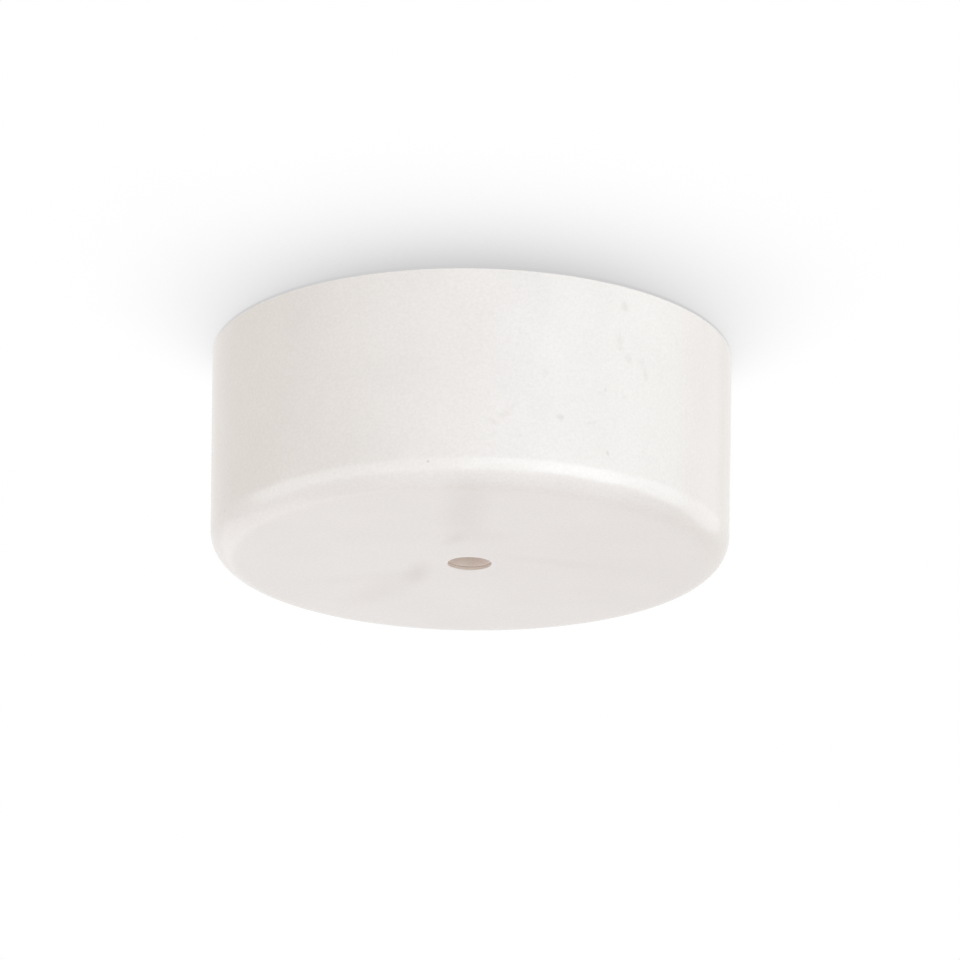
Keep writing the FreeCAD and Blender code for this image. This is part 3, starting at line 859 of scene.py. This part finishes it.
cordGrip = {
    "bore": 4.0, "funnel": (0.55, 2.4), "edge": 0.02, "reach": 0.17,
    "thread": 5.0, "threadPitch": 1.0, "threadDepth": 0.42, "threadFade": 1, "plainEnd": (0.4, 1.2),
    "outside": (4.6, 6.0), "clear": 0.05,      # the threads stay outside these radii, clear of the flange
    "flangeFlats": 17.0, "flange": (-41.1, -38.1), "flangeBevels": ((0.5, 0.3), (0.9, 0.5)),
    "hexEdge": 0.08, "neck": 6.5, "neckTop": -32.1, "neckBevel": 0.4,
    "colletRoot": 6.0, "colletTip": 5.2, "slot": 1.2, "fingers": 4, "fingerEdge": 0.3,
}
gripCap = {
    "outer": 8.5, "edge": 1.2, "rimEdge": 0.3, "mouth": 4.6, "mouthEdge": 0.35, "top": 1.8,
    "thread": 6.55, "threadMouth": 0.4, "seat": 0.15,
    "grooves": 16, "grooveRadius": 1.0, "grooveDepth": 0.6, "grooveEdge": 0.06, "grooveFade": (0.7, 1.7),
    "outside": 7.05,                           # the grooves stay outside this radius
}
toothWasher = {
    "inner": 5.15, "sheet": 0.5, "teeth": 12, "gap": 1.4, "depth": 1.6, "edge": 0.06, "twist": 0.15,
}
lockNut = {"flats": 14.0, "bore": 5.05, "mouth": 0.45}


# The grip's body: a bored tube with a round thread below, a hexagon flange and a threaded neck.
# The hexagon is the lesser of the turned radius and the hexagon's; the threads take depth off the radius.
def makeGripBody(look):
    low, high = boxInMm("cord_grip_body")
    bottom, tip = low[2] - look["reach"], high[2]      # reaches almost to the canopy's floor
    flangeLow, flangeHigh = look["flange"]
    bore, tube, neck, neckTop = (look[k] for k in ("bore", "thread", "neck", "neckTop"))
    mouth, mouthDepth = look["funnel"]
    edge, bevel, fade, clear = (look[k] for k in ("edge", "neckBevel", "threadFade", "clear"))
    corner = look["flangeFlats"] / math.sqrt(3)
    (lowIn, lowUp), (highIn, highDown) = look["flangeBevels"]
    body = joined(
        arc((tube - edge, bottom + edge), edge, 270, 360, 5),
        run((tube, bottom + edge), (tube, flangeLow), 84),
        [(corner - lowIn, flangeLow)],
        run((corner, flangeLow + lowUp), (corner, flangeHigh - highDown), 6),
        [(corner - highIn, flangeHigh)],
        run((neck, flangeHigh), (neck, neckTop - bevel), 72),
        run((neck, neckTop - bevel), (neck - bevel, neckTop), 4),
        run((bore, neckTop), (bore, bottom + mouthDepth), 12),
        run((bore, bottom + mouthDepth), (bore + mouth, bottom), 8),
    )
    plainTo, threadFrom = (bottom + length for length in look["plainEnd"])
    tubeSide, neckSide = look["outside"]

    def shaped(angle, radius, level):
        onTube = (radius > tubeSide) & (level < flangeLow - clear)
        onNeck = (radius > neckSide) & (level > flangeHigh + clear)
        share = ease(flangeLow, flangeLow - fade, level) * ease(plainTo, threadFrom, level) * onTube
        share = share + ease(flangeHigh, flangeHigh + fade, level) * onNeck
        radius = radius - look["threadDepth"] * threadWave(angle, level, look["threadPitch"]) * share
        return angle, softMin(radius, hexRadius(angle, look["flangeFlats"]), look["hexEdge"]), level

    edge, colletTip = look["fingerEdge"], look["colletTip"]
    finger = joined(
        [(bore, neckTop)],
        run((look["colletRoot"], neckTop), (colletTip, tip - edge), 8),
        arc((colletTip - edge, tip - edge), edge, 0, 90, 5),
        arc((bore + edge, tip - edge), edge, 90, 180, 5),
    )
    parts = [carriedRound(body, steps=192, bend=shaped)]
    quarter = turn / look["fingers"]
    for i in range(look["fingers"]):
        span = (i * quarter, (i + 1) * quarter)
        parts.append(slottedSector(finger, steps=24, span=span, slot=look["slot"]))
    surface = merged(parts)
    putSmall("cordGripBody", surface, "grip", "cord_grip_body")


# The cap: a turned bell whose outside takes the lesser of its own radius and that of its round grooves.
# A groove's wall is at c cos a - sqrt(g^2 - (c sin a)^2), with its centre at c and its radius g.
def makeGripCap(look, grip):
    low, high = boxInMm("cord_grip_cap")
    bottom, top = low[2], high[2]
    outer, edge, mouth, thread, seat = (look[k] for k in ("outer", "edge", "mouth", "thread", "seat"))
    rimEdge, mouthEdge, bevel = (look[k] for k in ("rimEdge", "mouthEdge", "threadMouth"))
    coneTop, coneLow = top - look["top"], grip["neckTop"] + seat
    profile = joined(
        [(thread + bevel, bottom)],
        arc((outer - rimEdge, bottom + rimEdge), rimEdge, 270, 360, 5),
        run((outer, bottom + rimEdge), (outer, top - edge), 40),
        arc((outer - edge, top - edge), edge, 0, 90, 14),
        arc((mouth + mouthEdge, top - mouthEdge), mouthEdge, 90, 180, 6),
        [(mouth, coneTop), (grip["colletTip"] + seat, coneTop), (grip["colletRoot"] + seat, coneLow)],
        [(thread, coneLow), (thread, bottom + bevel)],
    )
    pitch = turn / look["grooves"]
    grooveRadius = look["grooveRadius"]
    centre = outer + grooveRadius - look["grooveDepth"]
    shallow, full = (top - edge * share for share in look["grooveFade"])

    def grooved(angle, radius, level):
        across = centre * np.sin((angle + pitch / 2) % pitch - pitch / 2)
        deep = np.sqrt(np.maximum(grooveRadius ** 2 - across ** 2, 0))
        wall = np.sqrt(centre ** 2 - across ** 2) - deep
        wall = np.where(np.abs(across) < grooveRadius, wall, outer + grooveRadius)
        fade = ease(shallow, full, level) * (radius > look["outside"])
        return angle, radius - fade * (radius - softMin(radius, wall, look["grooveEdge"])), level

    surface = carriedRound(profile, steps=look["grooves"] * 22, bend=grooved)
    putSmall("cordGripCap", surface, "grip", "cord_grip_cap")


# The tooth washer: a ring whose outer radius drops in the gaps between its teeth, each tooth
# twisted by its share of the pitch.
def makeToothWasher(look):
    low, high = boxInMm("cord_grip_washer")
    middle, outer = (low[2] + high[2]) / 2, high[0]
    inner, root = look["inner"], outer - look["depth"]
    under, over = middle - look["sheet"] / 2, middle + look["sheet"] / 2
    profile = joined(
        run((inner, under), (root, under), 4), run((root, under), (outer, under), 6),
        run((outer, over), (root, over), 6), run((root, over), (inner, over), 4),
    )
    pitch = turn / look["teeth"]
    gapStart, gapEnd = look["gap"] / 2 - look["edge"], look["gap"] / 2 + look["edge"]

    def toothed(angle, radius, level):
        part = (angle + pitch / 2) % pitch - pitch / 2
        share = ease(gapStart, gapEnd, np.abs(outer * np.sin(part)))
        along = np.maximum(radius - root, 0)
        lean = np.where(part > 0, part - pitch / 2, part + pitch / 2) / (pitch / 2)
        twist = 2 * look["twist"] * lean * along / look["depth"] * share
        return angle, radius - along * (1 - share), level + np.clip(twist, -look["twist"], look["twist"])

    surface = carriedRound(profile, steps=look["teeth"] * 40, bend=toothed)
    putSmall("cordGripWasher", surface, "fastener", "cord_grip_washer")


def makeLockNut(look):
    low, high = boxInMm("cord_grip_lock_nut")
    nut = hexNut(look["flats"], look["bore"], low[2], high[2], look["mouth"])
    putSmall("cordGripLockNut", nut, "gripNut", "cord_grip_lock_nut")


makeMagnetFixings()
makeEarthFixings()
makeTerminalScrews()
makeGripBody(cordGrip)
makeGripCap(gripCap, cordGrip)
makeToothWasher(toothWasher)
makeLockNut(lockNut)
print("fasteners and cord grip ready")


# Ceiling, camera and light

ceiling = {
    "halfWidth": 2.5,
    "level": 0.2 * mm,
    "shadowReach": 0.15,
    "shadowSamples": 24,
    "lightTilt": 60,              # degrees from straight down, towards the back
    "openTone": 1.06,
    "shadowDepth": 0.85,
    "shadowPower": 1.5,
    "darkest": 0.62,
}

photoCamera = {
    "elevation": 18.6287,         # degrees, from below
    "roll": 0.6988,
    "distance": 1.020294,
    "aim": (2.14497 * mm, 0.0, -29.24567 * mm),
    "orbitLevel": -25.4 * mm,
    "focalPixels": 4445.47,
    "framePixels": 960,
    "sensor": 36.0,
    "clip": (0.01, 20),
}

daylight = {"colour": (0.711, 0.666, 0.614), "strength": 1.0}
lampDistance = 1.2

# Panels that show only in the gloss, like a row of windows: heading, upper and lower edge in degrees
windowHalf = 17.5
windows = [
    {"name": "windowLeft", "azimuth": -90, "edges": (0, -32), "power": (1.01, 1.17, 1.23)},
    {"name": "windowHalfLeft", "azimuth": -55, "edges": (0, -40), "power": (1.25, 1.44, 1.43)},
    {"name": "windowFront", "azimuth": -20, "edges": (2, -46.5), "power": (1.10, 1.15, 1.14)},
    {"name": "windowFrontRight", "azimuth": 15, "edges": (4, -41), "power": (1.99, 2.31, 2.22)},
    {"name": "windowHalfRight", "azimuth": 50, "edges": (6, -35), "power": (2.96, 3.41, 3.51)},
    {"name": "windowRight", "azimuth": 85, "edges": (8, -29), "power": (1.86, 2.10, 2.19)},
    {"name": "windowFarRight", "azimuth": 120, "edges": (8, -25), "power": (0.94, 1.04, 1.14)},
    {"name": "upperHalfRight", "azimuth": 50, "edges": (34, 6), "power": (0.41, 0.60, 0.60)},
    {"name": "upperRight", "azimuth": 85, "edges": (34, 6), "power": (0.64, 0.79, 0.83)},
    {"name": "upperFarRight", "azimuth": 120, "edges": (34, 6), "power": (0.31, 0.33, 0.36)},
    {"name": "windowRear", "azimuth": -150, "edges": (-9.5, -50.5), "power": (0.57, 0.55, 0.56)},
]

# Soft lamps that light the surfaces and stay out of the gloss
fillSize = (0.8, 0.8)
fills = [
    {"name": "keyRight", "azimuth": 20, "elevation": 5, "power": (2.70, 3.36, 3.97)},
    {"name": "sideRight", "azimuth": 50, "elevation": 0, "power": (0.95, 1.07, 1.11)},
    {"name": "rearLeft", "azimuth": -130, "elevation": -40, "power": (1.93, 2.37, 2.93)},
    {"name": "frontBelow", "azimuth": 0, "elevation": -50, "power": (1.25, 1.40, 1.80)},
]
roofSpot = {"height": 0.6, "power": 6.0, "softness": 0.05, "blend": 0.3}    # shines into the open top only


# Feeds the surface from the first shader to the second as the share goes from 0 to 1.
def mixToOutput(tree, output, share, first, second):
    mix = tree.nodes.new("ShaderNodeMixShader")
    tree.links.new(share, mix.inputs[0])
    tree.links.new(first.outputs[0], mix.inputs[1])
    tree.links.new(second.outputs[0], mix.inputs[2])
    tree.links.new(mix.outputs[0], tree.nodes[output].inputs["Surface"])


# The ceiling shows only its lower side. Its tone is the open tone less the share of the soft light
# from the back that the object hides, raised to a power.
def makeCeiling(look):
    half, level = look["halfWidth"], look["level"]
    corners = [(-half, -half, level), (-half, half, level), (half, half, level), (half, -half, level)]
    material, tree, shader, place = startMaterial("ceilingPlaster")
    tree.nodes.remove(shader)
    occlusion = tree.nodes.new("ShaderNodeAmbientOcclusion")
    occlusion.samples = look["shadowSamples"]
    occlusion.inputs["Distance"].default_value = look["shadowReach"]
    source = tree.nodes.new("ShaderNodeCombineXYZ")
    source.inputs["Y"].default_value = math.sin(math.radians(look["lightTilt"]))
    source.inputs["Z"].default_value = -math.cos(math.radians(look["lightTilt"]))
    tree.links.new(source.outputs["Vector"], occlusion.inputs["Normal"])
    hidden = math2(tree, "SUBTRACT", 1.0, occlusion.outputs["AO"])
    shadow = math2(tree, "MULTIPLY", math2(tree, "POWER", hidden, look["shadowPower"]), look["shadowDepth"])
    light = math2(tree, "MAXIMUM", math2(tree, "SUBTRACT", look["openTone"], shadow), look["darkest"])
    light.node.use_clamp = True
    lit = tree.nodes.new("ShaderNodeEmission")
    tree.links.new(light, lit.inputs["Color"])
    clear = tree.nodes.new("ShaderNodeBsdfTransparent")
    geometry = tree.nodes.new("ShaderNodeNewGeometry")
    mixToOutput(tree, "Material Output", geometry.outputs["Backfacing"], lit, clear)
    plane = putMesh("ceilingPlane", (np.array(corners), [np.array([[0, 1, 2, 3]])]), [material])
    plane.visible_diffuse = plane.visible_glossy = plane.visible_transmission = plane.visible_shadow = False


# The camera looks from below at the aim point, then rolls about its own axis.
def makeCamera(look):
    rise, roll = math.radians(look["elevation"]), math.radians(look["roll"])
    distance = look["distance"]
    eye = Vector((0, -distance * math.cos(rise), look["orbitLevel"] - distance * math.sin(rise)))
    ahead = (Vector(look["aim"]) - eye).normalized()
    right = ahead.cross(Vector((0, 0, 1))).normalized()
    up = right.cross(ahead)
    side = math.cos(roll) * right + math.sin(roll) * up
    top = math.cos(roll) * up - math.sin(roll) * right
    data = bpy.data.cameras.new("photoCamera")
    data.sensor_width = look["sensor"]
    data.lens = look["focalPixels"] / look["framePixels"] * look["sensor"]
    data.clip_start, data.clip_end = look["clip"]
    camera = bpy.data.objects.new("photoCamera", data)
    scene.collection.objects.link(camera)
    camera.matrix_world = Matrix((side, top, -ahead)).transposed().to_4x4()
    camera.location = eye
    scene.camera = camera


# A lamp's power per channel becomes its energy and its colour. It faces the target from its heading.
def makeLamp(spec, elevation, size, mirrored):
    rise, heading = math.radians(elevation), math.radians(spec["azimuth"])
    flat = math.cos(rise)
    towards = Vector((math.sin(heading) * flat, -math.cos(heading) * flat, math.sin(rise)))
    data = bpy.data.lights.new(spec["name"], "AREA")
    data.shape = "RECTANGLE"
    data.size, data.size_y = size
    data.energy = max(spec["power"])
    data.color = [power / data.energy for power in spec["power"]]
    lamp = bpy.data.objects.new(spec["name"], data)
    scene.collection.objects.link(lamp)
    lamp.visible_glossy, lamp.visible_diffuse = mirrored, not mirrored
    lamp.location = Vector((0, 0, photoCamera["orbitLevel"])) + towards * lampDistance
    lamp.rotation_euler = (-towards).to_track_quat("-Z", "Y").to_euler()


# A window's size is twice its distance times the tangent of half the angle it spans.
def makeWindow(spec):
    high, low = spec["edges"]
    size = [2 * lampDistance * math.tan(math.radians(angle)) for angle in (windowHalf, (high - low) / 2)]
    makeLamp(spec, (high + low) / 2, size, mirrored=True)


# A spot on the axis whose cone just fills the canopy's mouth, so that it lights the inside alone.
def makeRoofSpot(spec):
    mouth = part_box("canopy")[1].x - canopyShape["sheet"]
    data = bpy.data.lights.new("roofSpot", "SPOT")
    data.energy = spec["power"]
    data.shadow_soft_size = spec["softness"]
    data.spot_size = 2 * math.atan2(mouth, spec["height"])
    data.spot_blend = spec["blend"]
    lamp = bpy.data.objects.new("roofSpot", data)
    scene.collection.objects.link(lamp)
    lamp.visible_glossy = False      # no glint of it on the rim
    lamp.location = (0, 0, spec["height"])


# Soft light all round for diffuse surfaces; the eye, gloss and glass see the white background.
def makeWorld(look):
    world = bpy.data.worlds.new("softDaylight")
    world.use_nodes = True
    scene.world = world
    tree = world.node_tree
    soft = tree.nodes["Background"]
    soft.inputs["Color"].default_value = (*look["colour"], 1)
    soft.inputs["Strength"].default_value = look["strength"]
    white = tree.nodes.new("ShaderNodeBackground")
    white.inputs["Color"].default_value = (1, 1, 1, 1)
    white.inputs["Strength"].default_value = 1.0
    path = tree.nodes.new("ShaderNodeLightPath")
    seen = math2(tree, "MAXIMUM", path.outputs["Is Camera Ray"], path.outputs["Is Glossy Ray"])
    seen = math2(tree, "MAXIMUM", seen, path.outputs["Is Transmission Ray"])
    mixToOutput(tree, "World Output", seen, soft, white)


makeCeiling(ceiling)
makeCamera(photoCamera)
makeWorld(daylight)
for windowSpec in windows:
    makeWindow(windowSpec)
for fillSpec in fills:
    makeLamp(fillSpec, fillSpec["elevation"], fillSize, mirrored=False)
makeRoofSpot(roofSpot)
print("stage ready:", len(windows) + len(fills) + 1, "lamps")
